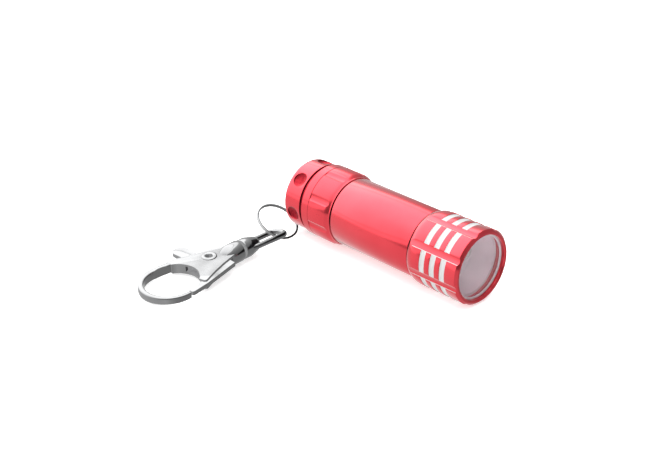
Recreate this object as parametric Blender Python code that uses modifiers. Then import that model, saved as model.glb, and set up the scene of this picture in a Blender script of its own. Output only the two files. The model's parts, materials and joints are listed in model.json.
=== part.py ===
"""Keychain flashlight: three-LED aluminium torch with a split ring and a swivel trigger clasp.

Blender 4.5, metres, +Z up.  The torch lies on its side along X, front face towards +X.
Profiles and outlines are written in millimetres and scaled by MM.
"""
import math

import bmesh
import bpy
from mathutils import Matrix, Vector

MM = 0.001

# Torch placement: the datum ahead of the front face, and the axis height above the table
FRONT_X = 36.425
AXIS_Y = 24.6
AXIS_Z = 10.0

# Torch body, stations measured from the datum towards the tail
FACE = 0.6
HEAD_R = 10.0
BARREL_R = 9.17
NECK_R = 8.2
BORE_R = 7.0
THREAD_BORE_R = 8.5
HEAD_END = 17.35
BARREL_START = 17.65
BARREL_END = 44.65
CAP_START = 44.95
CAP_GRIP_END = 52.4
GROOVE_START = 54.85
GROOVE_END = 56.05
CAP_END = 62.0
TAIL_R = 9.55
SKIRT_R = 7.7
SKIRT_FLOOR = 56.4
BOOT_R = 6.1
SHELL_STEPS = 40
SMALL_STEPS = 20

# Grip flutes on the head and the cap
FLUTES = 8
FLUTE_DEPTH = 0.35
FLUTE_CUTTER_R = 2.06
FLUTE_START_ANGLE = -61.4

# Drilled dimples round the tail skirt: the one that takes the ring goes right through
DIMPLES = 6
DIMPLE_R = 2.05
DIMPLE_STATION = 58.55
DIMPLE_START_ANGLE = -43.5
DIMPLE_SHOULDER = 9.1
DIMPLE_TIP = 8.05
RING_DIMPLE = 4

# LED cluster and cells
LED_COUNT = 3
LED_PITCH_R = 3.7
LED_BASE = 12.6
REFLECTOR_FLOOR = 9.3
CELL_COUNT = 4
CELL_R = 5.8
CELL_H = 5.4
CELL_GAP = 0.15
FIRST_CELL = 19.1

# Split ring: centre from the torch's datum point, unit normal, mean radius, wire section
RING_CENTRE = (-64.38, -9.67, -6.55)
RING_NORMAL = (0.493, 0.099, 0.865)
RING_R = 5.8
RING_WIRE_W = 0.6
RING_WIRE_H = 0.33
RING_LAYER_GAP = 0.05

# Swivel point of the clasp, the clasp's downward slope, and the eye's heading, pitch and roll
SWIVEL_POINT = (-59.45, -28.1, -6.85)
CLASP_SLOPE = 3.6
EYE_HEADING = 6.2
EYE_PITCH = -4.2
EYE_ROLL = 9.1
EYE_HALF_WIDTH = 2.22
EYE_LENGTH = 17.1
EYE_WIRE_R = 0.75

# Clasp body, in its own frame: +X to the hook's end, +Y to the gate side
COLLAR_R = 2.9
CLASP_THICKNESS = 2.8
GATE_SLOT = 1.6
GATE_THICKNESS = 1.2
LOOP_CENTRE = (23.0, -0.3)
LOOP_R = 7.4
LOOP_OPENING_R = 6.6
PIVOT = (8.7, -1.6)
RIVET_R = 1.25
TAB_CENTRE = (11.0, -10.7)
TAB_R = 2.1


def clear_scene():
    for obj in list(bpy.data.objects):
        bpy.data.objects.remove(obj, do_unlink=True)


def new_collection(name):
    coll = bpy.data.collections.new(name)
    bpy.context.scene.collection.children.link(coll)
    return coll


clear_scene()
PARTS = new_collection("keychain_flashlight")
CUTTERS = new_collection("cutters")
MATERIALS = {}


def material(name, colour, roughness, metallic):
    """Principled material, made once for each name."""
    if name not in MATERIALS:
        mat = bpy.data.materials.new(name)
        mat.use_nodes = True
        shader = mat.node_tree.nodes["Principled BSDF"]
        shader.inputs["Base Color"].default_value = (*colour, 1.0)
        shader.inputs["Roughness"].default_value = roughness
        shader.inputs["Metallic"].default_value = metallic
        MATERIALS[name] = mat
    return MATERIALS[name]


def red_anodised():
    return material("red_anodised", (0.80, 0.04, 0.06), 0.28, 1.0)


def chrome():
    return material("chrome", (0.86, 0.87, 0.88), 0.10, 1.0)


def steel():
    return material("spring_steel", (0.62, 0.62, 0.63), 0.25, 1.0)


def black_rubber():
    return material("black_rubber", (0.03, 0.03, 0.03), 0.75, 0.0)


def black_plastic():
    return material("black_plastic", (0.04, 0.04, 0.045), 0.45, 0.0)


def place(obj, mat, collection=PARTS):
    """Move an object to a collection, give it a material and smooth its round sides."""
    for coll in list(obj.users_collection):
        coll.objects.unlink(obj)
    collection.objects.link(obj)
    if mat is not None:
        obj.data.materials.clear()
        obj.data.materials.append(mat)
    if obj.type == "MESH":
        obj.data.shade_smooth()
        obj.data.set_sharp_from_angle(angle=math.radians(35))
    return obj


def torch_matrix(angle=0.0):
    """Frame on the torch axis at the datum, local +Z forward, turned about the axis."""
    turn = Matrix.Rotation(math.radians(90), 4, "Y") @ Matrix.Rotation(math.radians(angle), 4, "Z")
    return Matrix.Translation(Vector((FRONT_X, AXIS_Y, AXIS_Z)) * MM) @ turn


def turned(name, profile, mat, matrix=None, steps=SHELL_STEPS, collection=PARTS, closed=True):
    """Turned solid from (station, radius) points, outer side first; stations run down local -Z."""
    bm = bmesh.new()
    verts = [bm.verts.new((radius * MM, 0.0, -station * MM)) for station, radius in profile]
    for first, second in zip(verts, verts[1:]):
        bm.edges.new((first, second))
    if closed:
        bm.edges.new((verts[-1], verts[0]))
    mesh = bpy.data.meshes.new(name)
    bm.to_mesh(mesh)
    bm.free()
    obj = bpy.data.objects.new(name, mesh)
    bpy.context.scene.collection.objects.link(obj)
    obj.matrix_world = matrix or torch_matrix()
    screw = obj.modifiers.new("turn", "SCREW")
    screw.axis = "Z"
    screw.steps = steps
    screw.render_steps = steps
    screw.use_merge_vertices = True
    screw.merge_threshold = 0.00001
    screw.use_smooth_shade = True
    return place(obj, mat, collection)


def disc_profile(start, end, radius, edge=0.0):
    """Profile of a solid disc, with an optional chamfer on both edges."""
    if edge:
        return [(start, 0.0), (start, radius - edge), (start + edge, radius),
                (end - edge, radius), (end, radius - edge), (end, 0.0)]
    return [(start, 0.0), (start, radius), (end, radius), (end, 0.0)]


def disc(name, start, end, radius, mat, matrix=None, steps=SMALL_STEPS, edge=0.0, collection=PARTS):
    return turned(name, disc_profile(start, end, radius, edge), mat, matrix, steps, collection, closed=False)


def ring_profile(start, end, inner, outer):
    return [(start, outer), (end, outer), (end, inner), (start, inner)]


def bead_profile(station, radius, section, sides=6):
    """Closed round section for a turned seal ring."""
    points = []
    for index in range(sides):
        angle = -2.0 * math.pi * index / sides
        points.append((station + section * math.sin(-angle), radius + section * math.cos(angle)))
    return points


def cut(obj, cutter, operation="DIFFERENCE"):
    mod = obj.modifiers.new("cut", "BOOLEAN")
    mod.operation = operation
    mod.solver = "EXACT"
    mod.object = cutter
    return mod


def hide_cutter(obj):
    obj.hide_render = True
    obj.display_type = "WIRE"
    return obj


def cylinder_cutter(name, radius, depth, matrix, sides=24):
    """Closed cylinder along local Z, centred on the matrix origin."""
    bm = bmesh.new()
    bmesh.ops.create_cone(bm, cap_ends=True, segments=sides, radius1=radius * MM,
                          radius2=radius * MM, depth=depth * MM)
    mesh = bpy.data.meshes.new(name)
    bm.to_mesh(mesh)
    bm.free()
    obj = bpy.data.objects.new(name, mesh)
    CUTTERS.objects.link(obj)
    obj.matrix_world = matrix
    return hide_cutter(obj)


def outline(name, points, thickness, mat, matrix, collection=PARTS):
    """Flat outline of straight runs, extruded evenly about its own plane."""
    curve = bpy.data.curves.new(name, "CURVE")
    curve.dimensions = "2D"
    curve.fill_mode = "BOTH"
    curve.extrude = thickness * MM / 2.0
    spline = curve.splines.new("POLY")
    spline.points.add(len(points) - 1)
    for point, (x, y) in zip(spline.points, points):
        point.co = (x * MM, y * MM, 0.0, 1.0)
    spline.use_cyclic_u = True
    holder = bpy.data.objects.new(name, curve)
    bpy.context.scene.collection.objects.link(holder)
    holder.matrix_world = matrix
    return curve_to_mesh(holder, mat, collection)


def curve_to_mesh(holder, mat, collection=PARTS):
    """Replace a curve object by a closed mesh object of the same name and place."""
    bpy.context.view_layer.update()
    name = holder.name
    matrix = holder.matrix_world.copy()
    graph = bpy.context.evaluated_depsgraph_get()
    mesh = bpy.data.meshes.new_from_object(holder.evaluated_get(graph))
    bm = bmesh.new()
    bm.from_mesh(mesh)
    bmesh.ops.remove_doubles(bm, verts=bm.verts, dist=0.000002)
    bmesh.ops.recalc_face_normals(bm, faces=bm.faces)
    bm.to_mesh(mesh)
    bm.free()
    curve = holder.data
    bpy.data.objects.remove(holder, do_unlink=True)
    bpy.data.curves.remove(curve)
    mesh.name = name
    obj = bpy.data.objects.new(name, mesh)
    bpy.context.scene.collection.objects.link(obj)
    obj.matrix_world = matrix
    return place(obj, mat, collection)


def wire(name, points, width, height, mat, matrix, radii=None, sides=8, power=1.0, collection=PARTS):
    """Wire of rounded section along open points: width lies in the local XY plane."""
    section = bpy.data.curves.new(name + "_section", "CURVE")
    section.dimensions = "2D"
    rim = section.splines.new("POLY")
    rim.points.add(sides - 1)
    for index, point in enumerate(rim.points):
        angle = 2.0 * math.pi * (index + 0.5) / sides
        across = math.copysign(abs(math.cos(angle)) ** power, math.cos(angle))
        along = math.copysign(abs(math.sin(angle)) ** power, math.sin(angle))
        point.co = (across * width * MM / 2.0, along * height * MM / 2.0, 0.0, 1.0)
    rim.use_cyclic_u = True
    section_obj = bpy.data.objects.new(name + "_section", section)
    bpy.context.scene.collection.objects.link(section_obj)
    curve = bpy.data.curves.new(name, "CURVE")
    curve.dimensions = "3D"
    curve.twist_mode = "Z_UP"
    curve.bevel_mode = "OBJECT"
    curve.bevel_object = section_obj
    curve.use_fill_caps = True
    spline = curve.splines.new("POLY")
    spline.points.add(len(points) - 1)
    for index, (x, y, z) in enumerate(points):
        spline.points[index].co = (x * MM, y * MM, z * MM, 1.0)
        spline.points[index].radius = radii[index] if radii else 1.0
    holder = bpy.data.objects.new(name, curve)
    bpy.context.scene.collection.objects.link(holder)
    holder.matrix_world = matrix
    obj = curve_to_mesh(holder, mat, collection)
    bpy.data.objects.remove(section_obj, do_unlink=True)
    return obj


def coil(name, radius, wire_r, start, end, turns, mat, matrix, end_radius=None, per_turn=9):
    """Round-wire coil along local -Z, from one station to another, optionally conical."""
    count = int(turns * per_turn)
    curve = bpy.data.curves.new(name, "CURVE")
    curve.dimensions = "3D"
    curve.bevel_depth = wire_r * MM
    curve.bevel_resolution = 1
    curve.use_fill_caps = True
    spline = curve.splines.new("POLY")
    spline.points.add(count)
    for index in range(count + 1):
        part = index / count
        angle = 2.0 * math.pi * turns * part
        reach = radius + ((end_radius or radius) - radius) * part
        station = start + (end - start) * part
        spline.points[index].co = (reach * math.cos(angle) * MM, reach * math.sin(angle) * MM,
                                   -station * MM, 1.0)
    holder = bpy.data.objects.new(name, curve)
    bpy.context.scene.collection.objects.link(holder)
    holder.matrix_world = matrix
    return curve_to_mesh(holder, mat)


def arc(centre, radius, first, last, steps):
    """Points on a circular arc, angles in degrees."""
    points = []
    for index in range(steps + 1):
        angle = math.radians(first + (last - first) * index / steps)
        points.append((centre[0] + radius * math.cos(angle), centre[1] + radius * math.sin(angle)))
    return points


def axes_matrix(x_axis, y_axis, origin):
    """Frame from two unit axes and an origin in millimetres."""
    z_axis = x_axis.cross(y_axis)
    basis = Matrix((x_axis, y_axis, z_axis)).transposed().to_4x4()
    return Matrix.Translation(Vector(origin) * MM) @ basis


def from_datum(offset):
    """World point, in millimetres, from an offset to the torch's datum point."""
    return Vector((FRONT_X + offset[0], AXIS_Y + offset[1], AXIS_Z + offset[2]))


def clasp_matrix():
    slope = math.radians(CLASP_SLOPE)
    along = Vector((0.0, -math.cos(slope), -math.sin(slope)))
    return axes_matrix(along, Vector((1.0, 0.0, 0.0)), from_datum(SWIVEL_POINT))


def eye_matrix():
    heading = math.radians(EYE_HEADING)
    pitch = math.radians(EYE_PITCH)
    roll = math.radians(EYE_ROLL)
    along = Vector((-math.sin(heading) * math.cos(pitch), math.cos(heading) * math.cos(pitch),
                    math.sin(pitch)))
    level = Vector((math.cos(heading), math.sin(heading), 0.0))
    near = level * math.cos(roll) + level.cross(along) * math.sin(roll)
    return axes_matrix(along, -near, from_datum(SWIVEL_POINT))


def ring_matrix():
    normal = Vector(RING_NORMAL).normalized()
    across = Vector((0.0, 1.0, 0.0)).cross(normal).normalized()
    return axes_matrix(across, normal.cross(across), from_datum(RING_CENTRE))


def flute_cutters(shell, name, start, end):
    """Eight round-bottomed flutes milled along a shell between two stations."""
    reach = HEAD_R - FLUTE_DEPTH + FLUTE_CUTTER_R
    for index in range(FLUTES):
        angle = math.radians(FLUTE_START_ANGLE + 360.0 * index / FLUTES)
        centre = Vector((FRONT_X - (start + end) / 2.0, AXIS_Y + reach * math.sin(angle),
                         AXIS_Z + reach * math.cos(angle)))
        frame = Matrix.Translation(centre * MM) @ Matrix.Rotation(math.radians(90), 4, "Y")
        cutter = cylinder_cutter(f"{name}_flute_{index + 1}", FLUTE_CUTTER_R, end - start, frame, 16)
        cut(shell, cutter)


def head_shell():
    outer = [(FACE, 9.35), (1.25, HEAD_R)]
    outer += [(15.05, HEAD_R), (16.2, 9.82), (HEAD_END, 9.3)]
    inner = [(HEAD_END, THREAD_BORE_R), (9.6, THREAD_BORE_R), (9.6, 9.0), (1.6, 9.0), (1.6, 8.6),
             (0.85, 8.6), (FACE, 8.85)]
    shell = turned("head_shell", outer + inner, red_anodised())
    flute_cutters(shell, "head", -2.0, HEAD_END + 2.0)
    return shell


def barrel():
    outer = [(10.2, NECK_R - 0.3), (10.5, NECK_R), (14.6, NECK_R), (14.6, 7.5), (15.7, 7.5), (15.7, NECK_R),
             (BARREL_START, NECK_R), (BARREL_START, BARREL_R - 0.15), (BARREL_START + 0.15, BARREL_R),
             (BARREL_END - 0.15, BARREL_R), (BARREL_END, BARREL_R - 0.15), (BARREL_END, NECK_R),
             (49.8, NECK_R), (50.1, NECK_R - 0.3)]
    inner = [(50.1, BORE_R), (10.2, BORE_R)]
    return turned("barrel", outer + inner, red_anodised())


def tail_cap():
    outer = [(CAP_START, 9.35), (45.3, 9.35), (46.5, HEAD_R), (CAP_GRIP_END - 0.15, HEAD_R),
             (CAP_GRIP_END, 9.85), (CAP_GRIP_END + 0.15, HEAD_R),
             (GROOVE_START - 0.15, HEAD_R), (GROOVE_START, 9.85), (GROOVE_START, 8.9),
             (GROOVE_END, 8.9), (GROOVE_END, TAIL_R), (CAP_END - 1.0, TAIL_R), (CAP_END - 0.4, TAIL_R - 0.25),
             (CAP_END, TAIL_R - 0.75)]
    inner = [(CAP_END, SKIRT_R), (SKIRT_FLOOR, SKIRT_R), (SKIRT_FLOOR, 6.5), (53.2, 6.5),
             (53.2, THREAD_BORE_R), (47.5, THREAD_BORE_R), (47.5, 9.2), (46.2, 9.2),
             (46.2, THREAD_BORE_R), (CAP_START, THREAD_BORE_R)]
    cap = turned("tail_cap", outer + inner, red_anodised())
    flute_cutters(cap, "cap", CAP_START - 3.0, CAP_GRIP_END)
    for index in range(DIMPLES):
        angle = math.radians(DIMPLE_START_ANGLE + 360.0 * index / DIMPLES)
        axis_point = Vector((FRONT_X - DIMPLE_STATION, AXIS_Y, AXIS_Z))
        frame = Matrix.Translation(axis_point * MM) @ Matrix.Rotation(-angle, 4, "X")
        point = [(-DIMPLE_SHOULDER, DIMPLE_R), (-DIMPLE_TIP, 0.0)]
        if index == RING_DIMPLE:
            point = [(1.0 - SKIRT_R, DIMPLE_R), (1.0 - SKIRT_R, 0.0)]
        drill = turned(f"drill_{index + 1}", [(-12.0, 0.0), (-12.0, DIMPLE_R)] + point, None, frame,
                       steps=16, collection=CUTTERS, closed=False)
        cut(cap, hide_cutter(drill))
    return cap


def optics():
    """Lens, its seal and the reflector, stacked behind the head's lip."""
    clear = material("clear_lens", (0.92, 0.94, 0.95), 0.05, 0.0)
    bright = material("reflector_silver", (0.78, 0.76, 0.77), 0.22, 1.0)
    silicone = material("clear_silicone", (0.80, 0.78, 0.78), 0.45, 0.0)
    turned("lens_seal", ring_profile(1.7, 2.15, 8.15, 8.85), silicone, steps=SMALL_STEPS)
    disc("lens", 2.25, 3.45, 8.8, clear, edge=0.1, steps=SHELL_STEPS)
    profile = [(3.6, 8.8), (4.2, 8.8), (4.2, 8.4), (9.5, 7.3), (9.9, 6.9), (9.9, 0.0), (REFLECTOR_FLOOR, 0.0),
               (REFLECTOR_FLOOR, 6.4), (3.6, 8.0)]
    cup = turned("reflector", profile, bright, steps=24)
    for index in range(LED_COUNT):
        frame = led_frame(index, REFLECTOR_FLOOR)
        cut(cup, cylinder_cutter(f"led_hole_{index + 1}", 2.7, 3.0, frame, 16))


def led_frame(index, station):
    """Frame on one LED's axis at a station, local +Z forward."""
    turn = Matrix.Rotation(math.radians(90 + 360.0 * index / LED_COUNT), 4, "Z")
    return torch_matrix() @ turn @ Matrix.Translation(Vector((LED_PITCH_R, 0.0, -station)) * MM)


def led_module():
    """Three domed LEDs on a round board, and the holder plug that feeds them from the cells."""
    epoxy = material("led_epoxy", (0.90, 0.91, 0.86), 0.12, 0.0)
    board_green = material("board_green", (0.05, 0.25, 0.12), 0.5, 0.0)
    dome = [(-4.6, 0.0), (-4.4, 0.9), (-3.9, 1.6), (-3.1, 2.2), (-2.2, 2.45), (-0.75, 2.45), (-0.75, 2.85),
            (0.0, 2.85), (0.0, 0.0)]
    for index in range(LED_COUNT):
        turned(f"led_{index + 1}", dome, epoxy, led_frame(index, LED_BASE), steps=14, closed=False)
    disc("led_board", LED_BASE + 0.1, 13.5, 6.8, board_green)
    profile = [(13.6, 0.0), (13.6, 6.7), (16.6, 6.7), (16.6, 5.6), (14.4, 5.6), (14.4, 0.0)]
    turned("led_holder", profile, black_plastic(), steps=SMALL_STEPS, closed=False)
    coil("front_contact_spring", 2.6, 0.25, 14.8, 18.6, 3.5, steel(), torch_matrix(), end_radius=1.7)


def cells():
    """Button cells in their plastic sleeve, with the rear contact spring."""
    can = material("cell_can", (0.70, 0.70, 0.72), 0.25, 1.0)
    turned("battery_sleeve", ring_profile(17.0, 44.4, 6.0, 6.75), black_plastic(), steps=SMALL_STEPS)
    for index in range(CELL_COUNT):
        start = FIRST_CELL + index * (CELL_H + CELL_GAP)
        profile = [(start, 0.0), (start, 4.7), (start + 0.35, 5.2), (start + 0.6, CELL_R),
                   (start + CELL_H - 0.3, CELL_R), (start + CELL_H, CELL_R - 0.3), (start + CELL_H, 0.0)]
        turned(f"button_cell_{index + 1}", profile, can, steps=24, closed=False)
    coil("rear_contact_spring", 2.0, 0.25, 41.6, 45.3, 3.0, steel(), torch_matrix(), end_radius=3.6)


def seals():
    turned("head_seal", bead_profile(15.15, 7.95, 0.38), black_rubber(), steps=SMALL_STEPS)
    turned("cap_seal", bead_profile(46.85, 8.75, 0.38), black_rubber(), steps=SMALL_STEPS)


def tail_switch():
    """Push switch behind the cells: housing, spring, plunger and rubber boot."""
    white = material("switch_white", (0.80, 0.80, 0.78), 0.5, 0.0)
    housing = [(45.8, 0.0), (45.8, 6.3), (50.4, 6.3), (50.4, 8.2), (51.2, 8.2), (51.2, 2.2), (47.2, 2.2),
               (47.2, 0.0)]
    turned("switch_housing", housing, black_plastic(), steps=SMALL_STEPS, closed=False)
    plunger = [(48.6, 0.0), (48.6, 1.7), (60.2, 1.7), (60.2, 3.6), (62.6, 3.6), (62.6, 0.0)]
    turned("switch_plunger", plunger, white, steps=24, closed=False)
    coil("switch_spring", 2.6, 0.22, 51.7, 56.7, 3.0, steel(), torch_matrix())
    boot = [(52.4, 7.6), (53.0, 7.6), (53.0, BOOT_R), (64.0, BOOT_R), (64.6, 5.75), (65.1, 4.6), (65.3, 2.4),
            (65.35, 0.0), (63.0, 0.0), (63.0, 4.6), (52.4, 4.6)]
    turned("switch_boot", boot, black_rubber(), steps=SMALL_STEPS)


def split_ring():
    """Flat spring wire wound in two close turns, stepping from one layer to the other."""
    per_turn = 30
    first = 0.08
    last = 1.92
    count = int(per_turn * (last - first))
    rise = RING_WIRE_H + RING_LAYER_GAP
    points = []
    for index in range(count + 1):
        turn = first + (last - first) * index / count
        step = min(max((turn - 0.93) / 0.14, 0.0), 1.0)
        height = rise * (step * step * (3.0 - 2.0 * step) - 0.5)
        angle = 2.0 * math.pi * turn
        points.append((RING_R * math.cos(angle), RING_R * math.sin(angle), height))
    return wire("split_ring", points, RING_WIRE_W, RING_WIRE_H, chrome(), ring_matrix(), sides=6, power=0.8)


def swivel_eye():
    """Closed loop on a hub: bars from the base washer, joined round the tip."""
    frame = eye_matrix()
    reach = EYE_LENGTH - EYE_HALF_WIDTH
    points = [(1.5, -1.75, 0.0), (4.5, -EYE_HALF_WIDTH, 0.0), (9.5, -EYE_HALF_WIDTH, 0.0)]
    points += [(x, y, 0.0) for x, y in arc((reach, 0.0), EYE_HALF_WIDTH, -90, 90, 10)]
    points += [(9.5, EYE_HALF_WIDTH, 0.0), (4.5, EYE_HALF_WIDTH, 0.0), (1.5, 1.75, 0.0)]
    diameter = 2.0 * EYE_WIRE_R
    eye = wire("swivel_eye", points, diameter, diameter, chrome(), frame, sides=8)
    axis = frame @ Matrix.Rotation(math.radians(-90), 4, "Y")
    hub = turned("eye_hub", [(0.5, 2.6), (0.65, 2.75), (2.8, 2.75), (4.2, 2.45), (6.0, 2.05), (6.4, 1.7),
                             (6.4, 1.0), (0.5, 1.0)], None, axis, steps=SMALL_STEPS, collection=CUTTERS)
    cut(eye, hide_cutter(hub), "UNION")
    middle = frame @ Matrix.Translation(Vector((3.1, 0.0, 0.0)) * MM)
    bore = middle @ Matrix.Rotation(math.radians(90), 4, "Y")
    cut(eye, cylinder_cutter("eye_bore", 1.0, 8.0, bore, SMALL_STEPS))
    return eye


def swivel_pin():
    """Rivet pin: one head inside the clasp's collar, the other in the eye."""
    axis = eye_matrix() @ Matrix.Rotation(math.radians(-90), 4, "Y")
    profile = [(-3.1, 0.0), (-3.1, 1.3), (-2.8, 1.7), (-2.4, 1.7), (-2.4, 0.8), (6.6, 0.8), (6.6, 1.45),
               (7.0, 1.35), (7.3, 0.8), (7.35, 0.0)]
    return turned("swivel_pin", profile, chrome(), axis, steps=20, closed=False)


def clasp_hook():
    """Cast hook: tapering loop, two cheeks round the gate slot, and the swivel collar."""
    frame = clasp_matrix()
    cheeks = [(3.0, 2.5), (4.5, 2.75), (12.0, 4.9), (16.4, 6.6), (17.2, 6.2), (17.8, 3.0), (17.8, -7.9),
              (16.0, -7.75), (12.0, -6.3), (5.0, -4.2), (3.0, -3.2)]
    hook = outline("clasp_hook", cheeks, CLASP_THICKNESS, chrome(), frame)
    opening = cylinder_cutter("hook_opening", LOOP_OPENING_R, 8.0,
                              frame @ Matrix.Translation(Vector((21.4, -0.5, 0.0)) * MM), 32)
    cut(hook, opening)
    path = [(13.2, -5.8), (16.2, -6.8), (18.6, -7.3)] + arc(LOOP_CENTRE, LOOP_R, -100, 93, 20)
    points = [(x, y, 0.0) for x, y in path]
    taper = [1.0 - 0.34 * index / (len(points) - 1) for index in range(len(points))]
    loop = wire("hook_loop", points, 1.87, 2.7, None, frame, radii=taper, sides=12, power=0.55,
                collection=CUTTERS)
    cut(hook, hide_cutter(loop), "UNION")
    axis = frame @ Matrix.Rotation(math.radians(90), 4, "Y")
    collar = turned("hook_collar", [(-6.2, 0.0), (-6.0, 1.3), (-5.0, 2.4), (-3.4, COLLAR_R),
                                    (-0.2, COLLAR_R), (0.0, COLLAR_R - 0.2), (0.0, 0.0)],
                    None, axis, steps=SMALL_STEPS, collection=CUTTERS, closed=False)
    cut(hook, hide_cutter(collar), "UNION")
    cavity = turned("collar_cavity", [(-4.6, 0.0), (-4.6, 0.7), (-3.3, 2.2), (-1.7, 2.2), (-1.5, 1.3),
                                      (0.6, 1.3), (0.6, 0.0)],
                    None, axis, steps=24, collection=CUTTERS, closed=False)
    cut(hook, hide_cutter(cavity))
    slot = [(4.4, 8.0), (19.0, 10.0), (19.0, -2.0), (14.4, -3.6), (14.4, -10.5), (4.4, -10.5)]
    cut(hook, hide_cutter(outline("gate_slot", slot, GATE_SLOT, None, frame, CUTTERS)))
    cut(hook, cylinder_cutter("rivet_hole", RIVET_R + 0.12, 6.0, pivot_matrix(), 24))
    return hook


def pivot_matrix():
    """Frame on the gate's pivot axis, in the clasp's mid-plane."""
    return clasp_matrix() @ Matrix.Translation(Vector((PIVOT[0], PIVOT[1], 0.0)) * MM)


def clasp_gate():
    """Lever in the slot: gate arm to the hook's nose, thumb tab on the other side."""
    tab = arc((TAB_CENTRE[0] - PIVOT[0], TAB_CENTRE[1] - PIVOT[1]), TAB_R, 10, -190, 10)
    shape = [(-3.4, 6.2), (7.7, 8.6), (12.5, 9.15), (13.3, 8.65), (13.3, 7.6), (7.9, 6.6), (6.3, 4.6),
             (4.1, 0.6), (4.1, -4.2)]
    shape += tab + [(0.15, -4.8), (-2.2, -3.0), (-3.6, 1.6)]
    gate = outline("clasp_gate", shape, GATE_THICKNESS, chrome(), pivot_matrix())
    cut(gate, cylinder_cutter("gate_bore", RIVET_R + 0.15, 4.0, pivot_matrix(), 24))
    pocket = pivot_matrix() @ Matrix.Translation(Vector((0.0, 0.0, 0.65)) * MM)
    cut(gate, cylinder_cutter("spring_pocket", 2.15, 1.6, pocket, 24))
    return gate


def gate_rivet():
    """Hollow rivet through both cheeks, rolled over on each side."""
    face = CLASP_THICKNESS / 2.0 + 0.12
    inner = 0.92
    profile = [(-face - 0.35, 1.5), (-face - 0.15, 2.1), (-face, 2.1), (-face, RIVET_R), (face, RIVET_R),
               (face, 2.1), (face + 0.15, 2.1), (face + 0.35, 1.5), (face + 0.2, inner), (-face - 0.2, inner)]
    return turned("gate_rivet", profile, chrome(), pivot_matrix(), steps=24)


def gate_spring():
    """Two-turn torsion spring in the gate's pocket round the rivet."""
    return coil("gate_spring", 1.78, 0.12, -0.08, -0.42, 1.9, steel(), pivot_matrix(), per_turn=12)


head_shell()
barrel()
tail_cap()
optics()
led_module()
cells()
seals()
tail_switch()
split_ring()
swivel_eye()
swivel_pin()
clasp_hook()
clasp_gate()
gate_rivet()
gate_spring()
bpy.context.view_layer.update()
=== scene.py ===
"""Looks for the keychain flashlight: shells, clasp, ring, optics, materials, light and camera."""

import json
import math

import bmesh
import bpy
from mathutils import Matrix, Vector


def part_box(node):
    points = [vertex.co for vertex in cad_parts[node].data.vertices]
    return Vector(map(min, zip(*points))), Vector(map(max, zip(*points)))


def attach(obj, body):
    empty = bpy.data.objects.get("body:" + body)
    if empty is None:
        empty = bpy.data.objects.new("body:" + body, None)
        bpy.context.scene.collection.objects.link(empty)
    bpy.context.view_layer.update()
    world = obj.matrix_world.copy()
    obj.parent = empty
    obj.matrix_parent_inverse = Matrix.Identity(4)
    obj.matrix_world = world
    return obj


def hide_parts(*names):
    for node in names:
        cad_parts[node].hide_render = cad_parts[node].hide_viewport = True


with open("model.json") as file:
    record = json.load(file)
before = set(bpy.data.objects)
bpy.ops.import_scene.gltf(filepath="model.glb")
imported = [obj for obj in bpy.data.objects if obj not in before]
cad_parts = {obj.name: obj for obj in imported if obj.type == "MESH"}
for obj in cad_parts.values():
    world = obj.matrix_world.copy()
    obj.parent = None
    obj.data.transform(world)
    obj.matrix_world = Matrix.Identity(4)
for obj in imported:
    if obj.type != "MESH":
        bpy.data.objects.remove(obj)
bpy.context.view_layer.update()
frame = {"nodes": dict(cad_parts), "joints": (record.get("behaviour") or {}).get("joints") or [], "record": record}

MM = 0.001
JOINTS = {joint["name"]: joint for joint in frame["joints"]}

# Torch frame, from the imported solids: its axis, and a datum a little ahead of the front face
FACE = 0.6
BARREL_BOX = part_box("barrel")
AXIS_Y = (BARREL_BOX[0].y + BARREL_BOX[1].y) / 2 / MM
AXIS_Z = (BARREL_BOX[0].z + BARREL_BOX[1].z) / 2 / MM
FRONT_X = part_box("head_shell")[1].x / MM + FACE

# Torch shells, stations in millimetres from the datum towards the tail
HEAD_R = 10.0
BARREL_R = 9.17
NECK_R = 8.2
BORE_R = 7.0
THREAD_BORE_R = 8.5
HEAD_END = 17.35
BARREL_START = 17.65
BARREL_END = 44.65
CAP_START = 44.95
CAP_GRIP_END = 52.4
GROOVE_START = 54.85
GROOVE_END = 56.05
CAP_END = 62.0
TAIL_R = 9.55
SKIRT_R = 7.7
SKIRT_FLOOR = 56.4
BOOT_R = 6.1
THREAD_PITCH = 0.75
THREAD_HEIGHT = 0.2
SHELL_STEPS = 160
FINE_STEPS = 96

# Grip flutes, and the bare bands turned into the head's lands
FLUTES = 8
FLUTE_DEPTH = 0.35
FLUTE_CUTTER_R = 2.06
FLUTE_START_ANGLE = -61.4
BAND_CENTRES = (5.35, 8.65, 11.95)
BAND_WIDTH = 1.7
BAND_DEPTH = 0.1
EDGE_ROUND = 0.035

# Drilled dimples round the tail skirt: the one that takes the ring goes right through
DIMPLES = 6
DIMPLE_R = 2.05
DIMPLE_STATION = 58.55
DIMPLE_START_ANGLE = -43.5
DIMPLE_SHOULDER = 9.1
DIMPLE_TIP = 8.05
RING_DIMPLE = 4

# LED cluster
LED_COUNT = 3
LED_PITCH_R = 3.7
LED_BASE = 12.6
REFLECTOR_FLOOR = 9.3

# Split ring and swivel eye, from the datum's centre point
RING_CENTRE = (-64.38, -9.67, -6.55)
RING_NORMAL = (0.493, 0.099, 0.865)
RING_R = 5.8
RING_WIRE_W = 0.6
RING_WIRE_H = 0.33
RING_LAYER_GAP = 0.05
EYE_HEADING = 6.2
EYE_PITCH = -4.2
EYE_ROLL = 9.1
EYE_HALF_WIDTH = 2.22
EYE_LENGTH = 17.1
EYE_WIRE_R = 0.75

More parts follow.
